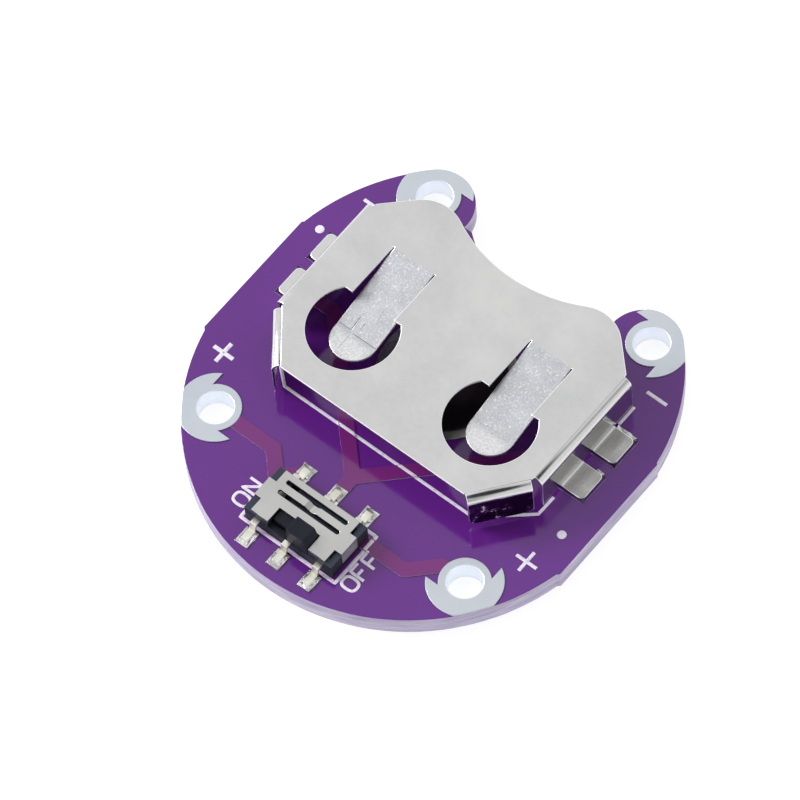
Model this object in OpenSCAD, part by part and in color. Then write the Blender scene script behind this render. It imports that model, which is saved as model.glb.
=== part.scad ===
// Sewable coin cell holder: a round board with four sewing eyelets,
// a sprung sheet-metal clip for one coin cell and a small slide switch.
// The board lies flat, +Z up. +X runs along the switch, +Y towards the side
// where the cell slides in. The origin is under the middle of the board.

/* [Board] */
// Thickness of the board
board_t = 1.6; // [1:0.1:2.4]
// Width across the two flat sides
board_w = 29.1; // [28.9:0.1:31]
// Height from the bottom of the curve to the top of the ears
board_h = 30.1; // [30:0.1:31]
// Radius of the lower edge
lower_r = 14.8; // [14.7:0.05:15.2]
// Lower end of the flat side stubs, measured from the middle of the board
stub_y_low = -3.6; // [-4.2:0.1:-3]
// Upper end of the flat side stubs
stub_y_high = 6.2; // [5.6:0.1:6.6]
// Radius of the round end of each ear
ear_r = 2.55; // [2.4:0.05:2.7]
// Distance of each ear's centre from the middle line
ear_x = 8.5; // [8.3:0.05:8.7]
// Radius of the shallow bay between the ears
bay_r = 8.3; // [7.5:0.1:9]
// Depth of the bay below the top of the ears
bay_depth = 4.75; // [4.3:0.05:5]
// Depth of the step where the bay meets the ears, below their top
bay_step = 2.8; // [2.5:0.05:3.2]
// Thickness of the copper and its plating
copper_t = 0.08; // [0.05:0.01:0.12]

/* [Sewing eyelets] */
// Radius of each sewing hole
eyelet_hole_r = 1.2; // [0.9:0.05:1.3]
// Width of the plated ring around a hole
eyelet_ring_w = 0.5; // [0.4:0.05:0.7]
// Radius of the horned petal beside the ring
petal_r = 2.5; // [2.2:0.05:2.7]
// Wall of the plated barrel through the hole
barrel_wall = 0.18; // [0.17:0.01:0.3]
// Distance of the lower eyelets from the middle line
eyelet_low_x = 10.18; // [9.8:0.02:10.4]
// Height of the lower eyelets above the bottom of the board
eyelet_low_rise = 7.37; // [7.1:0.01:7.7]
// Distance of the upper eyelets from the middle line
eyelet_high_x = 8.88; // [8.6:0.02:9]
// Depth of the upper eyelets below the top of the ears
eyelet_high_drop = 2.2; // [2.15:0.01:2.4]

/* [Copper] */
// Width of a copper track
track_w = 1; // [0.6:0.05:1.1]
// Sideways distance from the rear left leg's land to the turn of its track
left_turn_x = 1.36; // [1.2:0.02:1.9]
// Height of that land above the turn
left_turn_y = 1.2; // [1:0.05:1.3]
// Height of the right track's straight run above the middle of the switch
right_run_y = 1.4; // [1.3:0.05:1.7]
// Distance from the right eyelet's centre to the first turn of its track
right_lead = 1.86; // [1.8:0.02:2.4]
// Height of the round cell pad's centre
cell_pad_y = 3; // [2.6:0.1:3.4]
// Radius of the round cell pad
cell_pad_r = 4.6; // [4:0.1:4.8]
// Distance that a solder land reaches past the metal on it
land_margin = 0.15; // [0.1:0.05:0.25]

/* [Cell clip] */
// Thickness of the clip's sheet
clip_sheet = 0.2; // [0.15:0.01:0.25]
// Room between the board and the underside of the clip's roof
cell_room = 3.2; // [2.6:0.1:4]
// Outer width of the clip across its side walls
clip_w = 21.6; // [21.2:0.1:22]
// Outer radius of the bends between roof and walls
clip_bend_r = 0.6; // [0.4:0.05:0.8]
// Lower straight edge of the roof
roof_y_low = -4.2; // [-4.6:0.1:-4]
// Half length of that straight edge
roof_low_half = 7.45; // [7.2:0.05:7.8]
// Lower end of the side walls
side_y_low = -0.55; // [-0.6:0.05:0.1]
// Upper end of the side walls
side_y_high = 8.5; // [8:0.1:9]
// Radius of the bay in the roof's upper edge
roof_bay_r = 11; // [10.5:0.1:12]
// Deepest point of that bay
roof_bay_y = 9.76; // [9.4:0.02:9.8]
// Distance of the round shoulders from the middle line
shoulder_x = 6.4; // [6.2:0.05:6.6]
// Height that the round shoulders reach
shoulder_y = 11.34; // [11.1:0.02:11.4]
// Gap between the board and the bottom of the walls
wall_lift = 0.3; // [0.2:0.05:0.6]
// Gap between a side wall and the corner wall beside it
corner_gap = 0.2; // [0.1:0.05:0.4]
// Radius of the corner wall's lower corners
wall_corner_r = 0.5; // [0.2:0.1:0.8]

/* [Clip windows and springs] */
// Radius of the two round windows
window_r = 3.05; // [2.8:0.05:3.2]
// Distance of the windows from the middle line
window_x = 5.58; // [5.4:0.02:5.8]
// Height of the window centres
window_y = 0.78; // [0.6:0.02:1]
// Height of the straight top edge of the windows above their centre
window_top = 2; // [1.8:0.05:2.4]
// Width of each spring tongue
tongue_w = 3.25; // [2.9:0.05:3.3]
// Width of the shear gap beside a tongue
tongue_gap = 0.08; // [0.05:0.01:0.15]
// Height of the line where the tongues leave the roof
tongue_root_y = 6.95; // [6.5:0.05:7.4]
// Distance that a tongue's tip drops below the roof
tongue_drop = 1.4; // [1:0.05:1.8]

/* [Clip feet] */
// Width of each foot
foot_w = 2.2; // [1.8:0.05:2.4]
// Reach of the feet beyond the side walls
foot_reach = 1.7; // [1.4:0.05:2]
// Height of the lower pair of feet
foot_low_y = 2.33; // [2.3:0.01:2.5]
// Distance between the feet on one side
foot_pitch = 3.18; // [3.1:0.02:3.4]
// Radius of the corners of a foot
foot_corner_r = 0.35; // [0.1:0.05:0.6]

/* [Switch] */
// Sideways place of the switch
switch_x = -0.1; // [-0.3:0.05:0.3]
// Height of the middle of the switch above the bottom of the board
switch_rise = 4.3; // [4.25:0.01:4.45]
// Length of the moulded base
base_l = 7.1; // [7:0.05:7.4]
// Depth of the moulded base
base_d = 3.6; // [3.5:0.05:3.7]
// Height of the moulded base
base_h = 1.35; // [1.3:0.05:1.6]
// Wall of the moulded base
base_wall = 0.45; // [0.4:0.05:0.5]
// Floor of the moulded base
base_floor = 0.42; // [0.4:0.02:0.5]
// Thickness of the steel cover
cover_sheet = 0.2; // [0.15:0.01:0.25]
// Length of the cover between its corner cut-outs
cover_l = 6; // [5.8:0.05:6.2]
// Width of the end tabs that grip the base
end_tab_w = 1.5; // [1.3:0.05:1.7]
// Length of the two slots in the cover
slot_l = 4.95; // [4.6:0.05:5.2]
// Width of the two slots in the cover
slot_w = 0.32; // [0.25:0.01:0.36]
// Width of the detent spring between the slots
detent_w = 0.52; // [0.45:0.01:0.55]
// Distance of the detent spring behind the middle of the switch
detent_y = 0.73; // [0.7:0.01:0.78]
// Depth of the bump pressed into the detent spring
detent_depth = 0.22; // [0.15:0.01:0.24]

/* [Slider] */
// Width of the knob at its foot
knob_w = 1.68; // [1.4:0.02:1.9]
// Width of the knob at its top
knob_top_w = 1.4; // [1.2:0.02:1.5]
// Height of the knob above the cover
knob_h = 0.75; // [0.4:0.05:1]
// Travel of the slider from on to off
slide_travel = 1.5; // [1.2:0.05:1.6]
// Running clearance around the slider
slide_gap = 0.05; // [0.03:0.01:0.08]
// Depth of the knob along the front
knob_d = 1.2; // [1:0.05:1.25]

/* [Terminals] */
// Distance between neighbouring legs
leg_pitch = 2.54; // [2.4:0.02:2.6]
// Width of a leg
leg_w = 0.5; // [0.4:0.02:0.6]
// Thickness of a leg
leg_t = 0.16; // [0.12:0.01:0.2]
// Distance from the middle of the switch to the tips of the legs
leg_reach = 3.15; // [3:0.05:3.25]
// Height at which a leg leaves the base
leg_exit_z = 0.62; // [0.6:0.01:0.66]
// Width of a leg's solder land
leg_land_w = 1; // [0.8:0.05:1.2]

/* [Hidden] */
$fn = 96;

// Small overlap between shapes that are joined or cut
eps = 0.01;

// Board: the lower and upper curves, the ears, the bay and the side stubs
top_z = board_t;
copper_z = top_z + copper_t;
low_end_y = -board_h / 2;
high_end_y = board_h / 2;
lower_y = low_end_y + lower_r;
ear_y = high_end_y - ear_r;
bay_y = high_end_y - bay_depth;
bay_step_y = high_end_y - bay_step;
upper_y = 3.9;
upper_r = norm([ear_x, ear_y - upper_y]) + ear_r;
ear_meet_x = ear_x * upper_r / (upper_r - ear_r);
stub_x = board_w / 2;
stub_slant = 0.4;

// Sewing eyelets, numbered lower left, lower right, upper right, upper left
ring_r = eyelet_hole_r + eyelet_ring_w;
eyelet_low_y = low_end_y + eyelet_low_rise;
eyelet_high_y = high_end_y - eyelet_high_drop;
eyelets = [
    [-eyelet_low_x, eyelet_low_y], [eyelet_low_x, eyelet_low_y],
    [eyelet_high_x, eyelet_high_y], [-eyelet_high_x, eyelet_high_y]
];

// Clip: heights of the roof and the places of its bends
roof_low_z = top_z + cell_room;
roof_z = roof_low_z + clip_sheet;
bend_z = roof_z - clip_bend_r;
wall_low_z = top_z + wall_lift;
side_x = clip_w / 2;
roof_side_x = side_x - clip_bend_r;
corner_run = [roof_side_x - roof_low_half, side_y_low - corner_gap - roof_y_low];
corner_inset = 0.1;
corner_len = norm(corner_run) - 2 * corner_inset;
corner_angle = atan2(corner_run[1], corner_run[0]);
shoulder_r = (pow(shoulder_x, 2) + pow(roof_bay_y + roof_bay_r - shoulder_y, 2) - pow(roof_bay_r, 2))
    / (2 * (shoulder_y - roof_bay_y));
shoulder_c = [shoulder_x, shoulder_y - shoulder_r];
slot_half = tongue_w / 2 + tongue_gap;
tongue_tip_r = tongue_w / 2;
foot_z = copper_z;
foot_end_x = side_x + foot_reach;
feet = [
    [-1, foot_low_y], [1, foot_low_y],
    [1, foot_low_y + foot_pitch], [-1, foot_low_y + foot_pitch]
];

// Switch: its place, heights above the board and places inside the base
switch_y = low_end_y + switch_rise;
base_z = copper_z;
rim_z = base_z + base_h;
cover_z = rim_z + cover_sheet;
floor_z = base_z + base_floor;
room_l = base_l - 2 * base_wall;
room_d = base_d - 2 * base_wall;
gate_w = knob_w + slide_travel + 2 * slide_gap;
slider_rest_x = slide_travel / 2;
slider_l = room_l - slide_travel - 2 * slide_gap;
slider_d = room_d - 2 * slide_gap;
contact_t = 0.1;
contact_lift = 0.03;
leg_exit_top_z = base_z + leg_exit_z + leg_t;
gate_z = leg_exit_top_z + contact_lift;
slider_low_z = gate_z + slide_gap;
slider_top_z = rim_z - slide_gap;
detent_lane_z = rim_z - detent_depth - slide_gap;
detent_notch = 0.15;
front_y = -base_d / 2;
window_back_y = front_y + knob_d + slide_gap;
contact_row_y = 0.72;
contact_w = 0.4;
contact_pad_y = contact_row_y - contact_w / 2 - 0.25;
leg_knee = base_d / 2 + 0.3;
leg_ankle = leg_knee + 0.16;
leg_sites = [
    [-leg_pitch, -1], [0, -1], [leg_pitch, -1],
    [leg_pitch, 1], [0, 1], [-leg_pitch, 1]
];
leg_land_in = leg_reach - 0.95;
leg_land_out = leg_reach + 0.35;
leg_land_y = (leg_land_in + leg_land_out) / 2;

mask_purple = [0.33, 0.16, 0.45];
track_purple = [0.5, 0.2, 0.5];
tin = [0.82, 0.84, 0.86];
nickel = [0.76, 0.76, 0.75];
black_nylon = [0.1, 0.11, 0.13];
spring_brass = [0.85, 0.7, 0.35];

// Outline of a strip: a line of points, and the same line raised by the strip's thickness
function sheet_strip(line, t) =
    concat(line, [for (i = [len(line) - 1 : -1 : 0]) line[i] + [0, t]]);

// ---- Board ----

module board_outline() {
    difference() {
        union() {
            intersection() {
                union() {
                    translate([0, lower_y]) circle(r = lower_r, $fn = 180);
                    translate([0, upper_y]) circle(r = upper_r, $fn = 180);
                }
                square([board_w, 2 * board_h], center = true);
            }
            polygon([
                [-stub_x, stub_y_low], [-stub_x + stub_slant, stub_y_low - stub_slant],
                [stub_x - stub_slant, stub_y_low - stub_slant], [stub_x, stub_y_low],
                [stub_x, stub_y_high], [stub_x - stub_slant, stub_y_high + stub_slant],
                [-stub_x + stub_slant, stub_y_high + stub_slant], [-stub_x, stub_y_high]
            ]);
        }
        translate([-ear_meet_x, bay_step_y]) square([2 * ear_meet_x, board_h]);
        translate([0, bay_y + bay_r]) circle(r = bay_r, $fn = 128);
    }
    for (side = [-1, 1]) translate([side * ear_x, ear_y]) circle(r = ear_r);
}

// Ring and horned petal of one eyelet, without its hole
module petal(site) {
    out = [sign(site[0]), sign(site[1])];
    translate(site) circle(r = ring_r);
    intersection() {
        board_outline();
        translate(site) difference() {
            circle(r = petal_r);
            // The quarter that faces the middle of the board stays bare
            mirror([out[0] > 0 ? 0 : 1, 0]) mirror([0, out[1] > 0 ? 0 : 1])
                translate([-2 * petal_r, -2 * petal_r])
                    square(2 * petal_r + eyelet_hole_r);
        }
    }
}

module board() {
    color(mask_purple) difference() {
        linear_extrude(height = board_t) board_outline();
        for (site = eyelets) {
            translate([site[0], site[1], -eps])
                cylinder(r = eyelet_hole_r + barrel_wall, h = board_t + 2 * eps);
            translate([0, 0, -eps]) linear_extrude(height = copper_t + eps) petal(site);
        }
    }
}

module sew_eyelet(i) {
    site = eyelets[i];
    color(tin) difference() {
        union() {
            linear_extrude(height = copper_t) petal(site);
            translate([0, 0, top_z]) linear_extrude(height = copper_t) petal(site);
            translate([site[0], site[1], 0])
                cylinder(r = eyelet_hole_r + barrel_wall, h = copper_z);
        }
        translate([site[0], site[1], -eps])
            cylinder(r = eyelet_hole_r, h = copper_z + 2 * eps);
    }
}

// ---- Copper ----

// A track of constant width through a list of points, round at its turns
module track(points) {
    for (i = [0 : len(points) - 2]) {
        run = points[i + 1] - points[i];
        translate(points[i]) rotate(atan2(run[1], run[0]))
            translate([0, -track_w / 2]) square([norm(run), track_w]);
    }
    if (len(points) > 2)
        for (i = [1 : len(points) - 2]) translate(points[i]) circle(d = track_w, $fn = 32);
}

module copper(kind) {
    color(kind) translate([0, 0, top_z]) linear_extrude(height = copper_t) children();
}

module track_plus_left() {
    land = [switch_x - leg_pitch, switch_y + leg_land_y];
    turn = land - [left_turn_x, left_turn_y];
    drop = eyelet_low_y - turn[1];
    copper(track_purple) difference() {
        track([eyelets[0], [turn[0] - drop, eyelet_low_y], turn, land]);
        petal(eyelets[0]);
        leg_land_outline(5);
    }
}

module track_plus_right() {
    run_y = switch_y + right_run_y;
    lead_x = eyelet_low_x - right_lead;
    drop = eyelet_low_y - run_y;
    land = [switch_x + leg_pitch, switch_y + leg_land_y];
    copper(track_purple) difference() {
        track([
            eyelets[1], [lead_x, eyelet_low_y], [lead_x - drop, run_y], [land[0], run_y], land
        ]);
        petal(eyelets[1]);
        leg_land_outline(3);
    }
}

module track_common() {
    fork = [switch_x, switch_y + leg_land_out + 1];
    rise = foot_low_y - fork[1];
    copper(track_purple) difference() {
        union() {
            track([[switch_x, switch_y + leg_land_y], fork]);
            translate(fork) circle(d = track_w, $fn = 32);
            for (side = [-1, 1])
                track([fork, fork + [side * rise, rise], [side * side_x, foot_low_y]]);
        }
        leg_land_outline(4);
        for (i = [0, 1]) clip_land_outline(i);
        translate([0, cell_pad_y]) circle(r = cell_pad_r + 0.25);
    }
}

module cell_pad() {
    copper(tin) translate([0, cell_pad_y]) circle(r = cell_pad_r);
}

module clip_land_outline(i) {
    low_x = side_x - 0.35;
    translate([feet[i][0] > 0 ? low_x : -foot_end_x - land_margin, feet[i][1] - foot_w / 2 - land_margin])
        square([foot_end_x + land_margin - low_x, foot_w + 2 * land_margin]);
}

module clip_land(i) {
    copper(tin) clip_land_outline(i);
}

module leg_land_outline(i) {
    site = leg_sites[i];
    translate([switch_x + site[0], switch_y + site[1] * leg_land_y])
        square([leg_land_w, leg_land_out - leg_land_in], center = true);
}

module leg_land(i) {
    copper(tin) leg_land_outline(i);
}

// ---- Cell clip ----

// Outline of the flat roof, without windows
module roof_outline() {
    corner = [roof_side_x, side_y_high + corner_gap];
    reach = corner - shoulder_c;
    lean = atan2(reach[1], reach[0]) + acos(shoulder_r / norm(reach));
    tangent = shoulder_c + shoulder_r * [cos(lean), sin(lean)];
    bay_c = [0, roof_bay_y + roof_bay_r];
    meet = bay_c + (shoulder_c - bay_c) * roof_bay_r / norm(shoulder_c - bay_c);
    difference() {
        union() {
            polygon([
                [-roof_low_half, roof_y_low], [roof_low_half, roof_y_low],
                [roof_side_x, roof_y_low + corner_run[1]], corner, tangent, shoulder_c, meet,
                [-meet[0], meet[1]], [-shoulder_c[0], shoulder_c[1]], [-tangent[0], tangent[1]],
                [-corner[0], corner[1]], [-roof_side_x, roof_y_low + corner_run[1]]
            ]);
            for (side = [-1, 1])
                translate([side * shoulder_c[0], shoulder_c[1]]) circle(r = shoulder_r, $fn = 128);
        }
        translate(bay_c) circle(r = roof_bay_r, $fn = 180);
    }
}

module roof_windows() {
    for (side = [-1, 1]) translate([side * window_x, 0]) {
        intersection() {
            translate([0, window_y]) circle(r = window_r);
            translate([-2 * window_r, window_y - 2 * window_r])
                square([4 * window_r, 2 * window_r + window_top]);
        }
        translate([-slot_half, window_y]) square([2 * slot_half, tongue_root_y - window_y]);
    }
}

// Section of a bend and the wall below it; the roof's edge lies at x = 0
module wall_section(low_z) {
    translate([-clip_sheet / 2, roof_low_z]) square([clip_sheet / 2, clip_sheet]);
    intersection() {
        translate([0, bend_z]) difference() {
            circle(r = clip_bend_r);
            circle(r = clip_bend_r - clip_sheet);
        }
        translate([0, bend_z]) square(clip_bend_r);
    }
    translate([clip_bend_r - clip_sheet, low_z]) square([clip_sheet, bend_z - low_z]);
}

// Section of a foot: the lower end of the side wall, bent outwards
module foot_section() {
    bend_r = clip_bend_r / 2;
    wall_x = clip_bend_r - clip_sheet;
    translate([wall_x, foot_z + bend_r]) square([clip_sheet, bend_z - foot_z - bend_r - clip_sheet]);
    translate([wall_x + bend_r, foot_z + bend_r]) intersection() {
        difference() {
            circle(r = bend_r);
            circle(r = bend_r - clip_sheet);
        }
        translate([-clip_bend_r, -clip_bend_r]) square(clip_bend_r);
    }
    translate([wall_x + bend_r, foot_z]) square([foot_reach + clip_sheet - bend_r, clip_sheet]);
}

// Plan of a foot, with its outer corners rounded
module foot_plan() {
    square([clip_bend_r + foot_reach - foot_corner_r, foot_w]);
    translate([0, foot_corner_r])
        square([clip_bend_r + foot_reach, foot_w - 2 * foot_corner_r]);
    for (y = [foot_corner_r, foot_w - foot_corner_r])
        translate([clip_bend_r + foot_reach - foot_corner_r, y]) circle(r = foot_corner_r, $fn = 48);
}

// Stands a section up: its x stays, its y becomes z, and it runs along +Y
module along_y(length) {
    translate([0, length, 0]) rotate([90, 0, 0]) linear_extrude(height = length) children();
}

module side_wall() {
    translate([roof_side_x, side_y_low, 0]) along_y(side_y_high - side_y_low) wall_section(wall_low_z);
    for (i = [1, 2]) translate([roof_side_x, feet[i][1] - foot_w / 2, 0]) intersection() {
        along_y(foot_w) foot_section();
        linear_extrude(height = 2 * roof_z) foot_plan();
    }
}

// Wall that stops the cell at a corner of the roof; its lower corners are round
module corner_wall() {
    wall_h = bend_z - wall_low_z;
    translate([roof_low_half, roof_y_low, 0]) rotate(corner_angle - 90)
        translate([0, corner_inset, 0]) intersection() {
            along_y(corner_len) wall_section(wall_low_z);
            translate([-clip_sheet, 0, 0]) rotate([90, 0, 90])
                linear_extrude(height = clip_bend_r + 2 * clip_sheet) {
                    translate([-eps, wall_low_z + wall_corner_r])
                        square([corner_len + 2 * eps, wall_h + clip_bend_r]);
                    translate([wall_corner_r, wall_low_z - eps])
                        square([corner_len - 2 * wall_corner_r, wall_corner_r + 2 * eps]);
                    for (y = [wall_corner_r, corner_len - wall_corner_r])
                        translate([y, wall_low_z + wall_corner_r]) circle(r = wall_corner_r, $fn = 48);
                }
        }
}

// Spring tongue: slopes down from its root and ends in a flat round tip
module tongue() {
    tip_y = window_y - 2 * tongue_tip_r;
    level_y = window_y + 0.3;
    root_y = tongue_root_y + 0.1;
    low_z = roof_low_z - tongue_drop;
    intersection() {
        translate([-tongue_w / 2, 0, 0]) rotate([90, 0, 90]) linear_extrude(height = tongue_w)
            polygon(sheet_strip([
                [tip_y, low_z], [level_y, low_z], [tongue_root_y, roof_low_z], [root_y, roof_low_z]
            ], clip_sheet));
        linear_extrude(height = roof_z + eps) {
            translate([0, window_y]) circle(r = tongue_tip_r);
            translate([-tongue_w / 2, window_y]) square([tongue_w, root_y - window_y]);
        }
    }
}

module cell_clip() {
    color(nickel) {
        translate([0, 0, roof_low_z]) linear_extrude(height = clip_sheet) difference() {
            roof_outline();
            roof_windows();
        }
        for (side = [0, 1]) mirror([side, 0, 0]) {
            side_wall();
            corner_wall();
            translate([window_x, 0, 0]) tongue();
        }
    }
}

// Solder around the sides and end of one foot, on its land
module clip_solder(i) {
    side = feet[i][0];
    solder_h = clip_sheet * 0.7;
    color(tin) difference() {
        translate([0, 0, copper_z]) intersection() {
            linear_extrude(height = solder_h) clip_land_outline(i);
            translate([side * (side_x + foot_end_x) / 2, feet[i][1], 0])
                linear_extrude(height = solder_h, scale = 0.9)
                    square([foot_end_x - side_x + 2 * land_margin, foot_w + 2 * land_margin], center = true);
        }
        translate([side > 0 ? side_x - clip_sheet - eps : -foot_end_x, feet[i][1] - foot_w / 2, 0])
            cube([foot_reach + clip_sheet + eps, foot_w, roof_z]);
    }
}

// ---- Slide switch ----

// Section of one leg from its contact inside the base to its foot on the board
module leg_section() {
    riser_y = room_d / 2;
    riser_run = 0.12;
    // Sideways step between the two faces of the sloping parts
    lean = 0.1;
    exit_low_z = leg_exit_top_z - leg_t;
    polygon([
        [contact_pad_y, floor_z], [riser_y - riser_run, floor_z],
        [riser_y, exit_low_z], [leg_knee, exit_low_z],
        [leg_ankle, copper_z], [leg_reach, copper_z], [leg_reach, copper_z + leg_t],
        [leg_ankle + lean, copper_z + leg_t], [leg_knee + lean, leg_exit_top_z],
        [riser_y - lean, leg_exit_top_z], [riser_y - riser_run - lean, floor_z + leg_t],
        [contact_pad_y, floor_z + leg_t]
    ]);
}

module leg_solid(i, width) {
    site = leg_sites[i];
    translate([switch_x + site[0], switch_y, 0]) mirror([0, site[1] > 0 ? 0 : 1, 0])
        translate([-width / 2, 0, 0]) rotate([90, 0, 90]) linear_extrude(height = width) leg_section();
}

module switch_leg(i) {
    color(tin) leg_solid(i, leg_w);
}

// Solder that wraps the foot of one leg on its land
module leg_solder(i) {
    site = leg_sites[i];
    solder_h = leg_t * 0.8;
    middle = (leg_land_in + 0.4 + leg_land_out) / 2;
    color(tin) difference() {
        translate([switch_x + site[0], switch_y + site[1] * middle, copper_z])
            linear_extrude(height = solder_h, scale = 0.72)
                square([leg_land_w, leg_land_out - leg_land_in - 0.4], center = true);
        leg_solid(i, leg_w);
    }
}

module switch_base() {
    color(black_nylon) difference() {
        translate([switch_x - base_l / 2, switch_y - base_d / 2, base_z]) cube([base_l, base_d, base_h]);
        translate([switch_x - room_l / 2, switch_y - room_d / 2, floor_z])
            cube([room_l, room_d, base_h]);
        translate([switch_x - gate_w / 2, switch_y + front_y - eps, gate_z])
            cube([gate_w, base_wall + 2 * eps, base_h]);
        for (i = [0 : len(leg_sites) - 1]) leg_solid(i, leg_w);
        // Shallow seats for the cover's end tabs
        for (side = [-1, 1])
            translate([switch_x + side * (base_l / 2), switch_y, base_z + base_h / 2 + 0.2])
                cube([2 * cover_sheet, end_tab_w, base_h + eps], center = true);
    }
}

// Plan of the cover: corner cut-outs, window for the knob and two slots
module cover_plan() {
    difference() {
        union() {
            square([cover_l, base_d - 0.1], center = true);
            square([base_l, end_tab_w], center = true);
        }
        translate([-gate_w / 2, front_y - eps]) square([gate_w, window_back_y - front_y + eps]);
        translate([-slot_l / 2, detent_y - detent_w / 2 - slot_w]) square([slot_l, detent_w + 2 * slot_w]);
    }
    for (side = [-1, 1]) translate([side * slot_l / 2, detent_y]) {
        // Round ends of the slots
        for (k = [-1, 1]) translate([0, k * (detent_w + slot_w) / 2]) difference() {
            translate([side > 0 ? -slot_w / 2 : 0, -slot_w / 2]) square([slot_w / 2, slot_w]);
            translate([-side * slot_w / 2, 0]) circle(d = slot_w, $fn = 32);
        }
    }
}

// The strip between the slots, with the bump that clicks into the slider
module detent_strip() {
    half = slot_l / 2;
    ramp = 0.5;
    flat = 0.1;
    low_z = rim_z - detent_depth;
    translate([0, detent_y + detent_w / 2, 0]) rotate([90, 0, 0]) linear_extrude(height = detent_w)
        polygon(sheet_strip([
            [-half, rim_z], [-ramp, rim_z], [-flat, low_z], [flat, low_z], [ramp, rim_z], [half, rim_z]
        ], cover_sheet));
}

module switch_cover() {
    tab_low_z = base_z + 0.3;
    color(nickel) translate([switch_x, switch_y, 0]) {
        translate([0, 0, rim_z]) linear_extrude(height = cover_sheet) cover_plan();
        detent_strip();
        for (side = [-1, 1])
            translate([side > 0 ? base_l / 2 - cover_sheet : -base_l / 2, -end_tab_w / 2, tab_low_z])
                cube([cover_sheet, end_tab_w, cover_z - tab_low_z]);
    }
}

module switch_slider() {
    color(black_nylon) translate([switch_x + slider_rest_x, switch_y, 0]) {
        difference() {
            translate([-slider_l / 2, -slider_d / 2, slider_low_z])
                cube([slider_l, slider_d, slider_top_z - slider_low_z]);
            // Lane under the detent spring, with its two notches
            translate([-slider_l, detent_y - detent_w / 2 - slide_gap, detent_lane_z])
                cube([2 * slider_l, detent_w + 2 * slide_gap, base_h]);
            for (side = [-1, 1])
                translate([side * slide_travel / 2, 0, detent_lane_z]) rotate([0, 45, 0])
                    translate([0, detent_y, 0]) cube([detent_notch, detent_w + 2 * slide_gap, detent_notch], center = true);
        }
        // Neck through the front gate and knob with a narrower top
        translate([-knob_w / 2, front_y, gate_z + slide_gap])
            cube([knob_w, knob_d, slider_top_z - gate_z - slide_gap]);
        translate([0, front_y + knob_d, 0]) rotate([90, 0, 0]) linear_extrude(height = knob_d)
            polygon([
                [-knob_w / 2, slider_top_z - eps], [knob_w / 2, slider_top_z - eps],
                [knob_w / 2, cover_z], [knob_w / 2 - (knob_w - knob_top_w), cover_z + knob_h],
                [-knob_w / 2, cover_z + knob_h]
            ]);
    }
}

// Sprung bridge under the slider that joins two neighbouring contacts
module slider_contact(side) {
    half = leg_pitch - slider_rest_x;
    foot = 0.3;
    ramp = 0.3;
    low_z = floor_z + leg_t + contact_lift;
    high_z = slider_low_z - contact_t;
    color(spring_brass)
        translate([switch_x + slider_rest_x, switch_y + side * contact_row_y + contact_w / 2, 0])
            rotate([90, 0, 0]) linear_extrude(height = contact_w)
                polygon(sheet_strip([
                    [-half, low_z], [-half + foot, low_z], [-half + foot + ramp, high_z],
                    [half - foot - ramp, high_z], [half - foot, low_z], [half, low_z]
                ], contact_t));
}

module slider_contact_front() { slider_contact(-1); }

module slider_contact_rear() { slider_contact(1); }

board();
for (i = [0 : 3]) sew_eyelet(i);
cell_pad();
track_plus_left();
track_plus_right();
track_common();
for (i = [0 : 3]) clip_land(i);
cell_clip();
for (i = [0 : 3]) clip_solder(i);
for (i = [0 : 5]) leg_land(i);
for (i = [0 : 5]) switch_leg(i);
for (i = [0 : 5]) leg_solder(i);
switch_base();
switch_cover();
switch_slider();
slider_contact_front();
slider_contact_rear();
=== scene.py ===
import math
import random

import bmesh
import bpy
from mathutils import Matrix, Vector
from mathutils.bvhtree import BVHTree


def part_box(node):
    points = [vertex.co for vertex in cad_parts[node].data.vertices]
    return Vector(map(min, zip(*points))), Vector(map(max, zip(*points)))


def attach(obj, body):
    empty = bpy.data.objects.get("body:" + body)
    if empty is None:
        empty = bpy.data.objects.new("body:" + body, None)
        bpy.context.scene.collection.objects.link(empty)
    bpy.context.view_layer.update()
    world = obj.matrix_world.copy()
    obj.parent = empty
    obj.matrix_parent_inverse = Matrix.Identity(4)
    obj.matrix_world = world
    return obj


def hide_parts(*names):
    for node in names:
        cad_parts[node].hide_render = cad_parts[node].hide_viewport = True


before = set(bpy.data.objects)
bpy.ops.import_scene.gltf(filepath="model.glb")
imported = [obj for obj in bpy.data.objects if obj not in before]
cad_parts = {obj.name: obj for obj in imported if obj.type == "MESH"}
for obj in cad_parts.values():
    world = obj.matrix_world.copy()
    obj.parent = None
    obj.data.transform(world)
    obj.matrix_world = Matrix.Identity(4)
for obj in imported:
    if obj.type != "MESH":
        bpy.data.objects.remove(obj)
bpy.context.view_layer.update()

# Sewable coin cell holder: the finish of the board, the print on it, the solder and the studio.
# Every size below is in millimetres, in the frame of the model; MM turns it into metres.
MM = 0.001
BOARD_BODY = "board_assembly"

BOARD_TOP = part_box("board")[1].z / MM
COPPER_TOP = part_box("cell_pad")[1].z / MM
SWITCH_BASE_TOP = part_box("switch_base")[1].z / MM

# Points of a model mesh closer than this are one point
WELD_GAP = 0.0005

# ---------------------------------------------------------------------------
# Camera: a long lens that looks down on the board from its front right
# ---------------------------------------------------------------------------
CAMERA_PLACE = (155.010, -159.175, 405.147)
CAMERA_TURN = (28.789, 2.919, 39.192)
CAMERA_LENS = 327.2

camera_data = bpy.data.cameras.new("camera")
camera_data.lens = CAMERA_LENS
camera_data.sensor_width = 36
camera_data.clip_end = 10  # metres
camera = bpy.data.objects.new("camera", camera_data)
camera.location = Vector(CAMERA_PLACE) * MM
camera.rotation_euler = [math.radians(angle) for angle in CAMERA_TURN]
bpy.context.scene.collection.objects.link(camera)
bpy.context.scene.camera = camera
bpy.context.scene.view_settings.view_transform = "Standard"


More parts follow.
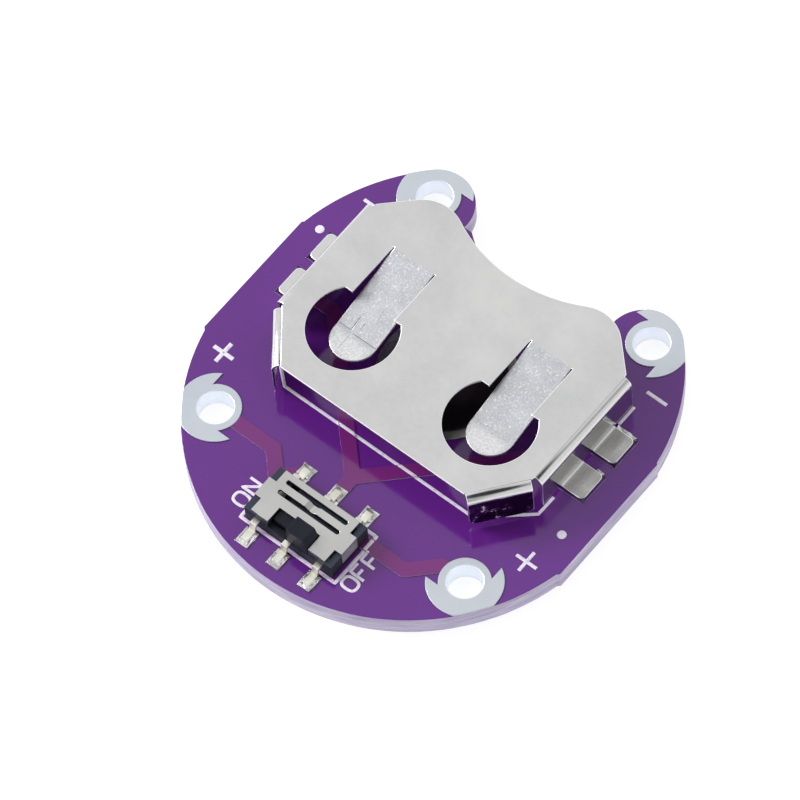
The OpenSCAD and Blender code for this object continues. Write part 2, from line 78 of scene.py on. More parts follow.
# ---------------------------------------------------------------------------
# Shader node groups
# ---------------------------------------------------------------------------
def node_group(name, inputs, outputs):
    """An empty shader group with its named sockets, and its input and output nodes."""
    group = bpy.data.node_groups.new(name, "ShaderNodeTree")
    for socket, kind, value in inputs:
        item = group.interface.new_socket(socket, in_out="INPUT", socket_type=kind)
        item.default_value = value
    for socket, kind in outputs:
        group.interface.new_socket(socket, in_out="OUTPUT", socket_type=kind)
    return group, group.nodes.new("NodeGroupInput"), group.nodes.new("NodeGroupOutput")


def math_node(tree, operation, a, b):
    """A Math node; a and b are sockets or numbers."""
    node = tree.nodes.new("ShaderNodeMath")
    node.operation = operation
    for slot, value in zip(node.inputs, (a, b)):
        if isinstance(value, bpy.types.NodeSocket):
            tree.links.new(value, slot)
        else:
            slot.default_value = value
    return node.outputs[0]


def noise_node(tree, place, scale, detail, roughness=0.5):
    """A noise texture's value at place; scale is a socket or a number."""
    node = tree.nodes.new("ShaderNodeTexNoise")
    node.inputs["Detail"].default_value = detail
    node.inputs["Roughness"].default_value = roughness
    tree.links.new(place, node.inputs["Vector"])
    if isinstance(scale, bpy.types.NodeSocket):
        tree.links.new(scale, node.inputs["Scale"])
    else:
        node.inputs["Scale"].default_value = scale
    return node.outputs["Fac"]


def build_grain_group():
    """Stretched fine grain, a value round 0.5, as rolled sheet and moulded plastic have."""
    group, given, made = node_group(
        "surface_grain",
        [("Vector", "NodeSocketVector", (0, 0, 0)), ("Stretch", "NodeSocketVector", (1, 1, 1)),
         ("Scale", "NodeSocketFloat", 1000)],
        [("Grain", "NodeSocketFloat"), ("Cloud", "NodeSocketFloat")])
    stretch = group.nodes.new("ShaderNodeVectorMath")
    stretch.operation = "MULTIPLY"
    group.links.new(given.outputs["Vector"], stretch.inputs[0])
    group.links.new(given.outputs["Stretch"], stretch.inputs[1])
    fine = noise_node(group, stretch.outputs[0], given.outputs["Scale"], 6, 0.65)
    cloud_scale = math_node(group, "MULTIPLY", given.outputs["Scale"], 0.12)
    cloud = noise_node(group, given.outputs["Vector"], cloud_scale, 3)
    group.links.new(fine, made.inputs["Grain"])
    group.links.new(cloud, made.inputs["Cloud"])
    return group


def build_box_group():
    """A mask that is 0 outside a box and climbs to 1 over a depth of Soft inside its faces."""
    group, given, made = node_group(
        "box_mask",
        [("Vector", "NodeSocketVector", (0, 0, 0)), ("Center", "NodeSocketVector", (0, 0, 0)),
         ("Half", "NodeSocketVector", (0.001, 0.001, 0.001)), ("Soft", "NodeSocketFloat", 0.0001)],
        [("Mask", "NodeSocketFloat")])
    vector = given.outputs["Vector"]
    for operation, other in (("SUBTRACT", "Center"), ("ABSOLUTE", None), ("SUBTRACT", "Half")):
        step = group.nodes.new("ShaderNodeVectorMath")
        step.operation = operation
        group.links.new(vector, step.inputs[0])
        if other:
            group.links.new(given.outputs[other], step.inputs[1])
        vector = step.outputs[0]
    split = group.nodes.new("ShaderNodeSeparateXYZ")
    group.links.new(vector, split.inputs[0])
    beyond = math_node(group, "MAXIMUM", split.outputs["X"], split.outputs["Y"])
    beyond = math_node(group, "MAXIMUM", beyond, split.outputs["Z"])
    share = math_node(group, "DIVIDE", beyond, given.outputs["Soft"])
    inside = math_node(group, "MINIMUM", math_node(group, "SUBTRACT", 0, share), 1)
    group.links.new(math_node(group, "MAXIMUM", inside, 0), made.inputs["Mask"])
    return group


GRAIN = build_grain_group()
BOX_MASK = build_box_group()


def start_material(name, color, roughness, metallic=0.0):
    """A material with a Principled shader; gives the material, its tree, shader and place."""
    material = bpy.data.materials.new(name)
    material.use_nodes = True
    tree = material.node_tree
    shader = tree.nodes["Principled BSDF"]
    shader.inputs["Base Color"].default_value = (*color, 1)
    shader.inputs["Roughness"].default_value = roughness
    shader.inputs["Metallic"].default_value = metallic
    place = tree.nodes.new("ShaderNodeTexCoord").outputs["Object"]
    return material, tree, shader, place


def add_grain(tree, place, scale, stretch=(1, 1, 1)):
    """Places the grain group; gives its Grain and Cloud outputs."""
    node = tree.nodes.new("ShaderNodeGroup")
    node.node_tree = GRAIN
    node.inputs["Scale"].default_value = scale
    node.inputs["Stretch"].default_value = stretch
    tree.links.new(place, node.inputs["Vector"])
    return node.outputs["Grain"], node.outputs["Cloud"]


def box_mask(tree, place, low, high, soft):
    """Places the box group; its corners and its soft edge are given in millimetres."""
    node = tree.nodes.new("ShaderNodeGroup")
    node.node_tree = BOX_MASK
    node.inputs["Center"].default_value = (Vector(low) + Vector(high)) * MM / 2
    node.inputs["Half"].default_value = (Vector(high) - Vector(low)) * MM / 2
    node.inputs["Soft"].default_value = soft * MM
    tree.links.new(place, node.inputs["Vector"])
    return node.outputs["Mask"]


def ramp(tree, value, stops):
    """A colour ramp on value; stops are (position, colour)."""
    node = tree.nodes.new("ShaderNodeValToRGB")
    node.color_ramp.elements[0].position = stops[0][0]
    node.color_ramp.elements[0].color = (*stops[0][1], 1)
    node.color_ramp.elements[1].position = stops[-1][0]
    node.color_ramp.elements[1].color = (*stops[-1][1], 1)
    for position, color in stops[1:-1]:
        node.color_ramp.elements.new(position).color = (*color, 1)
    tree.links.new(value, node.inputs["Fac"])
    return node.outputs["Color"]


def spread(tree, value, low, high, start=0.3, end=0.7):
    """Maps value from start..end to low..high."""
    node = tree.nodes.new("ShaderNodeMapRange")
    node.inputs["From Min"].default_value = start
    node.inputs["From Max"].default_value = end
    node.inputs["To Min"].default_value = low
    node.inputs["To Max"].default_value = high
    tree.links.new(value, node.inputs["Value"])
    return node.outputs["Result"]


def split_axes(tree, vector):
    """The X, Y and Z of a vector."""
    node = tree.nodes.new("ShaderNodeSeparateXYZ")
    tree.links.new(vector, node.inputs[0])
    return node.outputs[:3]


def vector_node(tree, operation, vector, constant):
    """A Vector Math node on a vector and a constant."""
    node = tree.nodes.new("ShaderNodeVectorMath")
    node.operation = operation
    node.inputs[1].default_value = constant
    tree.links.new(vector, node.inputs[0])
    return node


def weighted_sum(tree, *terms):
    """Adds values, each times its weight."""
    total = math_node(tree, "MULTIPLY", *terms[0])
    for term in terms[1:]:
        total = math_node(tree, "ADD", total, math_node(tree, "MULTIPLY", *term))
    return total


def mix_color(tree, factor, a, b):
    """Mixes two colours; a and b are sockets or colours."""
    node = tree.nodes.new("ShaderNodeMix")
    node.data_type = "RGBA"
    tree.links.new(factor, node.inputs[0])
    for slot, value in ((node.inputs[6], a), (node.inputs[7], b)):
        if isinstance(value, bpy.types.NodeSocket):
            tree.links.new(value, slot)
        else:
            slot.default_value = (*value, 1)
    return node.outputs[2]


def add_bump(tree, shader, height, strength, distance_mm):
    """Feeds height to the shader's normal; the distance is in millimetres."""
    node = tree.nodes.new("ShaderNodeBump")
    node.inputs["Strength"].default_value = strength
    node.inputs["Distance"].default_value = distance_mm * MM
    tree.links.new(height, node.inputs["Height"])
    tree.links.new(node.outputs["Normal"], shader.inputs["Normal"])


# ---------------------------------------------------------------------------
# Materials: a scale is in waves to the metre, a tone is (position on the ramp, colour)
# ---------------------------------------------------------------------------
ROLLED = 2600
CUT_BOARD = [(0.35, (0.32, 0.27, 0.42)), (0.62, (0.5, 0.45, 0.6)), (0.75, (0.66, 0.6, 0.62))]


def solder_mask(name, color, pale):
    """Glossy purple lacquer over a trace of the glass weave; the cut edge is bare board."""
    material, tree, shader, place = start_material(name, color, 0.12)
    grain, cloud = add_grain(tree, place, 900)
    face = ramp(tree, cloud, [(0.3, color), (0.7, pale)])
    normal = tree.nodes.new("ShaderNodeNewGeometry").outputs["Normal"]
    upright = math_node(tree, "ABSOLUTE", split_axes(tree, normal)[2], 0)
    layers, _ = add_grain(tree, place, 1500, (0.25, 0.25, 2.5))
    edge = ramp(tree, layers, CUT_BOARD)
    lacquered = math_node(tree, "GREATER_THAN", upright, 0.6)
    tree.links.new(mix_color(tree, lacquered, edge, face), shader.inputs["Base Color"])
    gloss = spread(tree, grain, 0.07, 0.15)
    rough_edge = spread(tree, upright, 0.5, 0.0, 0.4, 0.8)
    tree.links.new(math_node(tree, "MAXIMUM", gloss, rough_edge), shader.inputs["Roughness"])
    add_bump(tree, shader, grain, 0.04, 0.01)
    return material


# Middles of the eyelets' bores, whose walls are painted near-white, a painted reflection of the bright
# floor, paler than their faces
BORES = [(-10.18, -7.68), (10.18, -7.68), (8.88, 12.85), (-8.88, 12.85)]
BORE_R = 1.2
BORE_WALL_PAINTED_LIGHT = (0.86, 0.91, 1)


def painted_bore_light_mask(tree, place):
    """1 on the walls of the eyelets' bores, where the painted reflection goes, and 0 on their faces."""
    flat = vector_node(tree, "MULTIPLY", place, (1, 1, 0)).outputs[0]
    mask = 0
    for x, y in BORES:
        reach = vector_node(tree, "DISTANCE", flat, (x * MM, y * MM, 0)).outputs["Value"]
        wall = spread(tree, reach, 1, 0, (BORE_R + 0.03) * MM, (BORE_R + 0.06) * MM)
        mask = math_node(tree, "MAXIMUM", wall, mask)
    return mask


def plated_metal(name, color, pale, roughness, bump, scale, relief=0.02, paint_bore_light=False):
    """Metal with a fine grain; roughness is the low and high of what the grain gives."""
    material, tree, shader, place = start_material(name, color, roughness[0], metallic=1.0)
    grain, cloud = add_grain(tree, place, scale)
    face = ramp(tree, cloud, [(0.3, color), (0.7, pale)])
    # Painted reflection: the walls of the eyelets' bores are painted near-white
    if paint_bore_light:
        face = mix_color(tree, painted_bore_light_mask(tree, place), face, BORE_WALL_PAINTED_LIGHT)
    tree.links.new(face, shader.inputs["Base Color"])
    tree.links.new(spread(tree, grain, *roughness), shader.inputs["Roughness"])
    add_bump(tree, shader, grain, bump, relief)
    return material


# Boxes on the clip, in millimetres: the tongues, their tips and the corner walls (all at |x|), with the
# corner walls painted dark as their dark reflection, the right feet, painted darker as a dark reflection,
# and the creases that the press left across the left tongue, painted dark as shade
TONGUE_BOX = ((3.96, -1.0, 3), (7.2, 6.95, 6))
TIP_BOX = ((3.96, -1.0, 3), (7.2, 0.95, 6))
CORNER_PAINTED_DARK_BOX = ((7.6, -5.0, 1), (11.2, -1.0, 4.5))
DULL_FOOT_AND_PAINTED_DARK_BOX = ((10.9, 0.9, 1), (13, 7.0, 2.2))
CREASES = [((-7.3, 1.12, 3), (-6.15, 1.18, 5)), ((-5.75, 1.0, 3), (-3.9, 1.06, 5)),
           ((-6.18, 1.12, 3), (-6.12, 2.2, 5)), ((-5.65, 1.3, 3), (-5.6, 2.0, 5)),
           ((-6.0, -0.4, 3), (-5.96, 0.7, 5))]
# White flecks on the sanded tongues are painted glints
SANDED_WITH_PAINTED_GLINTS = [(0.35, (0.5, 0.51, 0.54)), (0.58, (0.6, 0.61, 0.64)), (0.68, (1, 1, 1))]
FINE_SANDED_WITH_PAINTED_GLINTS = [(0.35, (0.64, 0.645, 0.66)), (0.68, (0.9, 0.9, 0.91))]
# Right feet painted darker: a painted dark reflection
FEET_PAINTED_DARK = [(0.3, (0.33, 0.325, 0.32)), (0.7, (0.48, 0.47, 0.46))]
# Corner walls painted dark: a painted dark reflection, with pale matt smudges
CORNER_WALLS_PAINTED_DARK = [(0.5, (0.06, 0.055, 0.05)), (0.58, (0.17, 0.16, 0.16)), (0.68, (0.75, 0.74, 0.75))]
# Creases painted dark: painted shade
CREASE_PAINTED_SHADE = (0.16, 0.16, 0.17)
BRUSHED = 3000
FLECKED = 7000
STAINED = 160
SMUDGED = 850


def spring_sheet(name, color, pale):
    """Nickel on rolled sheet: smooth on the roof, sanded on the tongues with white flecks as painted
    glints, dull on the right feet and painted darker there as a dark reflection, and painted dark on the
    corner walls as their dark reflection, with pale matt smudges; the press's creases are painted dark as
    shade."""
    material, tree, shader, place = start_material(name, color, 0.2, metallic=1.0)
    grain, cloud = add_grain(tree, place, ROLLED)
    brushed, _ = add_grain(tree, place, BRUSHED, (1, 0.16, 1))
    flecks, patches = add_grain(tree, place, FLECKED)
    stain = noise_node(tree, place, STAINED, 4, 0.6)
    smudge = noise_node(tree, place, SMUDGED, 5, 0.75)

    x, y, z = split_axes(tree, place)
    mirrored = tree.nodes.new("ShaderNodeCombineXYZ")
    for value, slot in zip((math_node(tree, "ABSOLUTE", x, 0), y, z), mirrored.inputs):
        tree.links.new(value, slot)
    both_sides = mirrored.outputs[0]
    tongue = box_mask(tree, both_sides, *TONGUE_BOX, 0.03)
    tip = box_mask(tree, both_sides, *TIP_BOX, 0.5)
    corner = box_mask(tree, both_sides, *CORNER_PAINTED_DARK_BOX, 0.1)
    foot = box_mask(tree, place, *DULL_FOOT_AND_PAINTED_DARK_BOX, 0.2)
    creases = 0
    for crease in CREASES:
        creases = math_node(tree, "MAXIMUM", box_mask(tree, place, *crease, 0.02), creases)

    mottle = weighted_sum(tree, (cloud, 0.3), (stain, 0.45), (grain, 0.25))
    roof = ramp(tree, mottle, [(0.35, color), (0.62, pale)])
    # The tongues' white flecks are painted glints
    sanded_with_painted_glints = mix_color(tree, tip, ramp(tree, flecks, SANDED_WITH_PAINTED_GLINTS), ramp(tree, flecks, FINE_SANDED_WITH_PAINTED_GLINTS))
    finish = mix_color(tree, tongue, roof, sanded_with_painted_glints)
    # Painted dark reflection on the right feet
    finish = mix_color(tree, foot, finish, ramp(tree, brushed, FEET_PAINTED_DARK))
    # Painted dark reflection on the corner walls, with pale matt smudges
    finish = mix_color(tree, corner, finish, ramp(tree, smudge, CORNER_WALLS_PAINTED_DARK))
    # Painted shade in the creases
    finish = mix_color(tree, creases, finish, CREASE_PAINTED_SHADE)
    tree.links.new(finish, shader.inputs["Base Color"])

    matt_smudge = math_node(tree, "MULTIPLY", corner, spread(tree, smudge, 0, 0.9, 0.6, 0.68))
    tree.links.new(spread(tree, matt_smudge, 1, 0, 0, 1), shader.inputs["Metallic"])

    smooth = spread(tree, grain, 0.13, 0.21)
    satin = spread(tree, patches, 0.24, 0.42)
    rough = math_node(tree, "MAXIMUM", tongue, foot)
    blend = tree.nodes.new("ShaderNodeMix")
    for slot, value in zip((0, 2, 3), (rough, smooth, satin)):
        tree.links.new(value, blend.inputs[slot])
    tree.links.new(blend.outputs[0], shader.inputs["Roughness"])

    scratches = math_node(tree, "MULTIPLY", math_node(tree, "ADD", brushed, flecks), rough)
    height = weighted_sum(tree, (scratches, 1), (grain, 0.2), (creases, -1))
    add_bump(tree, shader, height, 0.5, 0.012)
    return material


NYLON_PAINTED_SHEEN_TONE = (0.035, 0.045, 0.068)


def moulded_nylon(name, color, pale, sheen_from=None):
    """Black plastic with the grain of a small moulding, painted paler and bluer from a height up as a
    painted sheen.
    """
    material, tree, shader, place = start_material(name, color, 0.42)
    shader.inputs["Specular IOR Level"].default_value = 0.18
    grain, cloud = add_grain(tree, place, ROLLED)
    face = ramp(tree, cloud, [(0.3, color), (0.7, pale)])
    # Painted sheen: paler and bluer from a height up
    if sheen_from is not None:
        height = split_axes(tree, place)[2]
        sheen_share = spread(tree, height, 0, 1, (sheen_from - 0.1) * MM, sheen_from * MM)
        face = mix_color(tree, sheen_share, face, NYLON_PAINTED_SHEEN_TONE)
    tree.links.new(face, shader.inputs["Base Color"])
    tree.links.new(spread(tree, grain, 0.34, 0.5), shader.inputs["Roughness"])
    add_bump(tree, shader, grain, 0.25, 0.01)
    return material


def pad_with_painted_shade(name, center, radius):
    """Plated pad under the cell: grey along its rim and left side, and painted dark elsewhere as the shade
    and dark reflection under the clip's roof.
    """
    material, tree, shader, place = start_material(name, (0.3, 0.29, 0.28), 0.3, metallic=1.0)
    grain, cloud = add_grain(tree, place, 2200)
    reach = vector_node(tree, "DISTANCE", place, Vector(center) * MM).outputs["Value"]
    rim = spread(tree, reach, 0, 1, (radius - 0.7) * MM, (radius - 0.5) * MM)
    left = spread(tree, split_axes(tree, place)[0], 1, 0, -1.5 * MM, 1.5 * MM)
    bright = math_node(tree, "MULTIPLY", math_node(tree, "MAXIMUM", rim, left), grain)
    # Painted shade: the pad is near-black away from its rim and left side
    face = ramp(tree, bright, [(0.1, (0.06, 0.045, 0.06)), (0.5, (0.42, 0.4, 0.39))])
    tree.links.new(face, shader.inputs["Base Color"])
    tree.links.new(spread(tree, cloud, 0.2, 0.4), shader.inputs["Roughness"])
    add_bump(tree, shader, grain, 0.4, 0.02)
    return material


def printed_ink(name, color, thin):
    """White board print, a little thin in places so that the lacquer tints it."""
    material, tree, shader, place = start_material(name, color, 0.5)
    grain, _ = add_grain(tree, place, 3200)
    tree.links.new(ramp(tree, grain, [(0.32, thin), (0.5, color)]), shader.inputs["Base Color"])
    tree.links.new(spread(tree, grain, 0.4, 0.6), shader.inputs["Roughness"])
    add_bump(tree, shader, grain, 0.2, 0.01)
    return material


MASK = solder_mask("purple solder mask", (0.108, 0.013, 0.21), (0.118, 0.016, 0.23))
MASKED_COPPER = solder_mask("mask over copper", (0.15, 0.015, 0.16), (0.18, 0.02, 0.18))
PAD_WITH_PAINTED_SHADE = pad_with_painted_shade("pad with painted shade", (0, 3, COPPER_TOP), 4.6)
TIN = plated_metal("tin plate", (0.56, 0.6, 0.66), (0.62, 0.66, 0.7), (0.3, 0.45), 0.35, 1900,
                   relief=0.03, paint_bore_light=True)
SPRING = spring_sheet("nickel on spring sheet", (0.57, 0.575, 0.575), (0.66, 0.66, 0.655))
# Near-white metal for the clip's rounded cut edges: a painted highlight
EDGE_PAINTED_HIGHLIGHT = plated_metal("cut edge with painted highlight", (0.95, 0.95, 0.94), (1, 1, 1), (0.3, 0.4), 0.2, ROLLED)
SOLDER = plated_metal("bright solder", (0.3, 0.3, 0.29), (0.92, 0.92, 0.91), (0.06, 0.16), 0.5, 9000,
                      relief=0.03)
# Near-black solder round the clip's feet: painted shade and dark reflection
SOLDER_PAINTED_DARK = plated_metal("solder painted dark", (0.012, 0.008, 0.015), (0.08, 0.07, 0.085), (0.15, 0.35),
                      0.5, 9000)
TERMINAL = plated_metal("tinned terminal", (0.64, 0.62, 0.53), (0.9, 0.89, 0.82), (0.28, 0.42),
                        0.25, 9000)
COVER = plated_metal("satin switch cover", (0.5, 0.5, 0.49), (0.56, 0.56, 0.55), (0.27, 0.42),
                     0.3, 3000)
BRASS = plated_metal("spring brass", (0.75, 0.55, 0.25), (0.85, 0.66, 0.35), (0.18, 0.3), 0.2, ROLLED)
NYLON_TONES = ((0.006, 0.007, 0.013), (0.012, 0.014, 0.024))
NYLON = moulded_nylon("black nylon", *NYLON_TONES)
NYLON_WITH_PAINTED_SHEEN = moulded_nylon("black nylon with painted sheen", *NYLON_TONES, SWITCH_BASE_TOP - 0.04)
INK = printed_ink("white print", (0.82, 0.78, 0.88), (0.62, 0.52, 0.74))


# ---------------------------------------------------------------------------
# Model nodes: material and a small rounding of their edges
# ---------------------------------------------------------------------------
EDGE_ANGLE = 35


def finish_node(name, material, rounding):
    """Gives a model node its material; rounding is the radius of its edges."""
    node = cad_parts[name]
    node.data.materials.clear()
    node.data.materials.append(material)
    weld = node.modifiers.new("weld", "WELD")
    weld.merge_threshold = WELD_GAP * MM
    bevel = node.modifiers.new("edges", "BEVEL")
    bevel.width = rounding * MM
    bevel.segments = 2
    bevel.limit_method = "ANGLE"
    bevel.angle_limit = math.radians(EDGE_ANGLE)


# Material and rounding by how a node's name begins
FINISHES = {
    "board": (MASK, 0.04), "cell_pad": (PAD_WITH_PAINTED_SHADE, 0.03), "track": (MASKED_COPPER, 0.05),
    "sew_eyelet": (TIN, 0.03), "clip_land": (MASK, 0.05), "leg_land": (SOLDER, 0.03),
    "cell_clip": (SPRING, 0.03), "clip_solder": (SOLDER_PAINTED_DARK, 0.03), "leg_solder": (SOLDER, 0.03),
    "switch_leg": (TERMINAL, 0.03), "switch_base": (NYLON_WITH_PAINTED_SHEEN, 0.04), "switch_cover": (COVER, 0.03),
    "switch_slider": (NYLON, 0.05), "slider_contact": (BRASS, 0.02),
}
for node_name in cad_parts:
    family = next(key for key in FINISHES if node_name.startswith(key))
    finish_node(node_name, *FINISHES[family])


def add_piece(name, mesh, materials):
    """A finished mesh becomes a piece that rides on the board."""
    for material in materials:
        mesh.materials.append(material)
    piece = bpy.data.objects.new(name, mesh)
    bpy.context.scene.collection.objects.link(piece)
    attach(piece, BOARD_BODY)
    return piece


# ---------------------------------------------------------------------------
# Clip: the sheet with the rims that the press left along its cut edges, rounded and painted near-white as
# a highlight
# ---------------------------------------------------------------------------
RIM_W = 0.05
RIM_ANGLE = 60
SHORT_EDGE = 0.015
FLAT_ANGLE = 0.5


def rimmed_clip():
    """A copy of the clip, kept in its box, with its cut edges rounded and given their own material,
    painted near-white as a highlight.
    """
    low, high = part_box("cell_clip")
    bm = bmesh.new()
    bm.from_mesh(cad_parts["cell_clip"].data)
    bmesh.ops.remove_doubles(bm, verts=bm.verts, dist=WELD_GAP * MM)
    bmesh.ops.dissolve_limit(bm, angle_limit=math.radians(FLAT_ANGLE), verts=bm.verts, edges=bm.edges)
    rims = [edge for edge in bm.edges if edge.is_manifold and edge.calc_length() > SHORT_EDGE * MM
            and edge.calc_face_angle() > math.radians(RIM_ANGLE)]
    rounded = bmesh.ops.bevel(bm, geom=rims, offset=RIM_W * MM, segments=2, profile=0.5,
                              affect="EDGES", material=-1)
    for face in bm.faces:
        face.material_index = 0
    for face in rounded["faces"]:
        face.material_index = 1
    # The bevel leaves a few points up to 0.05 mm above the roof: back into the clip's box
    for vert in bm.verts:
        for axis in range(3):
            vert.co[axis] = min(max(vert.co[axis], low[axis]), high[axis])
    mesh = bpy.data.meshes.new("clip_sheet")
    bm.to_mesh(mesh)
    bm.free()
    piece = add_piece("clip_sheet", mesh, (SPRING, EDGE_PAINTED_HIGHLIGHT))
    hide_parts("cell_clip")


rimmed_clip()


# ---------------------------------------------------------------------------
# Print on the board
# ---------------------------------------------------------------------------
INK_RISE = 0.02
INK_STEP = 0.12
OUTLINE_W = 0.22
SWITCH_BOX_W = 0.26
LETTER_W = 0.21
LETTER_H = 1.1
DROP_FROM = 0.01  # metres, above the whole board
GROUND = []
for node_name in ("board", "track_common", "track_plus_left", "track_plus_right"):
    ground_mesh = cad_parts[node_name].data
    GROUND.append(BVHTree.FromPolygons([v.co for v in ground_mesh.vertices],
                                       [p.vertices for p in ground_mesh.polygons]))


def ground_z(x, y):
    """Height of the lacquer, over the tracks too, in metres."""
    hits = [tree.ray_cast(Vector((x, y, DROP_FROM)), Vector((0, 0, -1)))[0] for tree in GROUND]
    return max((hit.z for hit in hits if hit), default=BOARD_TOP * MM)


def in_steps(points, closed):
    """The same line with a point at least every INK_STEP."""
    ends = points[1:] + points[:1] if closed else points[1:]
    fine = []
    for start, end in zip(points, ends):
        count = max(1, math.ceil(math.dist(start, end) / INK_STEP))
        fine += [(start[0] + (end[0] - start[0]) * i / count, start[1] + (end[1] - start[1]) * i / count)
                 for i in range(count)]
    return fine if closed else fine + [points[-1]]


def ink_lines(name, strokes, width):
    """Low rounded ribbons of ink along flat lines; strokes are (points, closed)."""
    curve = bpy.data.curves.new(name, "CURVE")
    curve.dimensions = "3D"
    curve.bevel_depth = width / 2 * MM
    curve.bevel_resolution = 3
    curve.use_fill_caps = True
    for line, closed in strokes:
        points = in_steps(line, closed)
        spline = curve.splines.new("POLY")
        spline.points.add(len(points) - 1)
        for place, point in zip(spline.points, points):
            place.co = (point[0] * MM, point[1] * MM, 0, 1)
        spline.use_cyclic_u = closed
    drawn = bpy.data.objects.new(name, curve)
    mesh = bpy.data.meshes.new_from_object(drawn)
    bpy.data.objects.remove(drawn)
    mesh.transform(Matrix.Diagonal((1, 1, 2 * INK_RISE / width, 1)))
    for vert in mesh.vertices:
        vert.co.z += ground_z(vert.co.x, vert.co.y)
    add_piece(name, mesh, [INK])


def cross(center, arm):
    """The two strokes of a plus sign."""
    x, y = center
    return [([(x - arm, y), (x + arm, y)], False), ([(x, y - arm), (x, y + arm)], False)]


def ring_points(center, radius_x, radius_y, count=20, bulge=1.0):
    """A ring of points; a bulge under 1 squares its shoulders."""
    points = []
    for i in range(count):
        across, up = math.cos(2 * math.pi * i / count), math.sin(2 * math.pi * i / count)
        points.append((center[0] + radius_x * math.copysign(abs(across) ** bulge, across),
                       center[1] + radius_y * math.copysign(abs(up) ** bulge, up)))
    return points


# Letters in units of their own height, (along the word, up), with whether a stroke is closed
LETTER_STROKES = {
    "O": [(ring_points((0.38, 0.5), 0.38, 0.5, 28, 0.72), True)],
    "N": [([(0.03, 0), (0.03, 1), (0.77, 0), (0.77, 1)], False)],
    "F": [([(0.05, 0), (0.05, 1), (0.72, 1)], False), ([(0.05, 0.52), (0.58, 0.52)], False)],
}


def word_strokes(word, starts, baseline_x):
    """Strokes of a word that reads along +Y with its letters' tops towards -X."""
    strokes = []
    for letter, start in zip(word, starts):
        for points, closed in LETTER_STROKES[letter]:
            placed = [(baseline_x - up * LETTER_H, start + along * LETTER_H) for along, up in points]
            strokes.append((placed, closed))
    return strokes


ink_lines("print_plus_left", cross((-12.35, -4.29), 0.8), 0.3)
ink_lines("print_plus_right", cross((12.33, -4.2), 0.8), 0.24)
ink_lines("print_minus_right", [([(10.8, 9.92), (12.39, 9.92)], False)], 0.25)
ink_lines("print_minus_left", [([(-12.39, 9.92), (-10.8, 9.92)], False)], 0.25)
for dot_name, dot in (("print_dot_left", (-13.25, 6.47)), ("print_dot_right", (12.89, -1.36))):
    ink_lines(dot_name, [(ring_points(dot, 0.12, 0.12, 10), True)], 0.4)
for side, side_name in ((-1, "left"), (1, "right")):
    ink_lines("print_clip_" + side_name, [
        ([(0, -3.79), (side * 7.7, -3.79), (side * 10.81, -1.12), (side * 10.84, 0.41)], False),
        ([(side * 10.84, 7.0), (side * 10.84, 8.57)], False),
    ], OUTLINE_W)
ink_lines("print_switch_box", [([(-3.92, -12.7), (3.78, -12.7), (3.78, -8.6), (-3.92, -8.6)], True)],
          SWITCH_BOX_W)
ink_lines("print_on", word_strokes("ON", (-12.13, -11.02), -4.1), LETTER_W)
ink_lines("print_off", word_strokes("OFF", (-12.58, -11.55, -10.5), 5.12), LETTER_W)


# ---------------------------------------------------------------------------
# Solder
# ---------------------------------------------------------------------------
def rectangle_ring(low, high, per_side):
    """Points round a rectangle, anticlockwise from its low corner, per_side to each side."""
    corners = [(low[0], low[1]), (high[0], low[1]), (high[0], high[1]), (low[0], high[1])]
    points = []
    for start, end in zip(corners, corners[1:] + corners[:1]):
        for step in range(per_side):
            share = step / per_side
            points.append((start[0] + (end[0] - start[0]) * share, start[1] + (end[1] - start[1]) * share))
    return points


# Rings of a skirt from its foot to its top: (share of the way in, share of the rise); a ring
# below the rim has its depth under the copper, in millimetres, in place of a share
SKIRT_RINGS = [(-0.06, -0.07), (0, 0.02), (0.3, 0.1), (0.65, 0.4), (1, 1)]
WAIST = 0.07


def solder_skirt(name, material, land, stem, rise, per_side, jitter, seed):
    """Solder that climbs hollow from the rim of its land to a stem of metal that stands on it.

    land and stem are pairs of corners; the rim draws in by WAIST between the land's corners,
    and jitter roughens all but the top, always alike for the same seed.
    """
    chance = random.Random(seed)
    middle = (Vector(land[0]) + Vector(land[1])) / 2
    rim = rectangle_ring(*land, per_side)
    top = rectangle_ring(*stem, per_side)
    rings = []
    for share, height in SKIRT_RINGS:
        ring = []
        for index, ((rim_x, rim_y), (top_x, top_y)) in enumerate(zip(rim, top)):
            shake = 0 if share == 1 else jitter
            waist = 1 - WAIST * (index % per_side > 0) * (share < 0.5)
            x = middle.x + (rim_x + (top_x - rim_x) * share - middle.x) * waist
            y = middle.y + (rim_y + (top_y - rim_y) * share - middle.y) * waist
            x += chance.uniform(-shake, shake)
            y += chance.uniform(-shake, shake)
            z = COPPER_TOP + (height * rise if height > 0 else height) + chance.uniform(0, shake)
            ring.append(Vector((x, y, z)) * MM)
        rings.append(ring)

    bm = bmesh.new()
    ring = [bm.verts.new(point) for point in rings[0]]
    edges = [bm.edges.new(pair) for pair in zip(ring, ring[1:] + ring[:1])]
    bmesh.ops.contextual_create(bm, geom=edges)
    for points in rings[1:]:
        made = bmesh.ops.extrude_edge_only(bm, edges=edges)["geom"]
        raised = {item for item in made if isinstance(item, bmesh.types.BMVert)}
        edges = [item for item in made if isinstance(item, bmesh.types.BMEdge)
                 and raised.issuperset(item.verts)]
        ring = [next(edge.other_vert(vert) for edge in vert.link_edges
                     if edge.other_vert(vert) in raised) for vert in ring]
        for vert, point in zip(ring, points):
            vert.co = point
    bmesh.ops.contextual_create(bm, geom=edges)
    bmesh.ops.recalc_face_normals(bm, faces=bm.faces)
    mesh = bpy.data.meshes.new(name)
    bm.to_mesh(mesh)
    bm.free()
    return add_piece(name, mesh, [material])


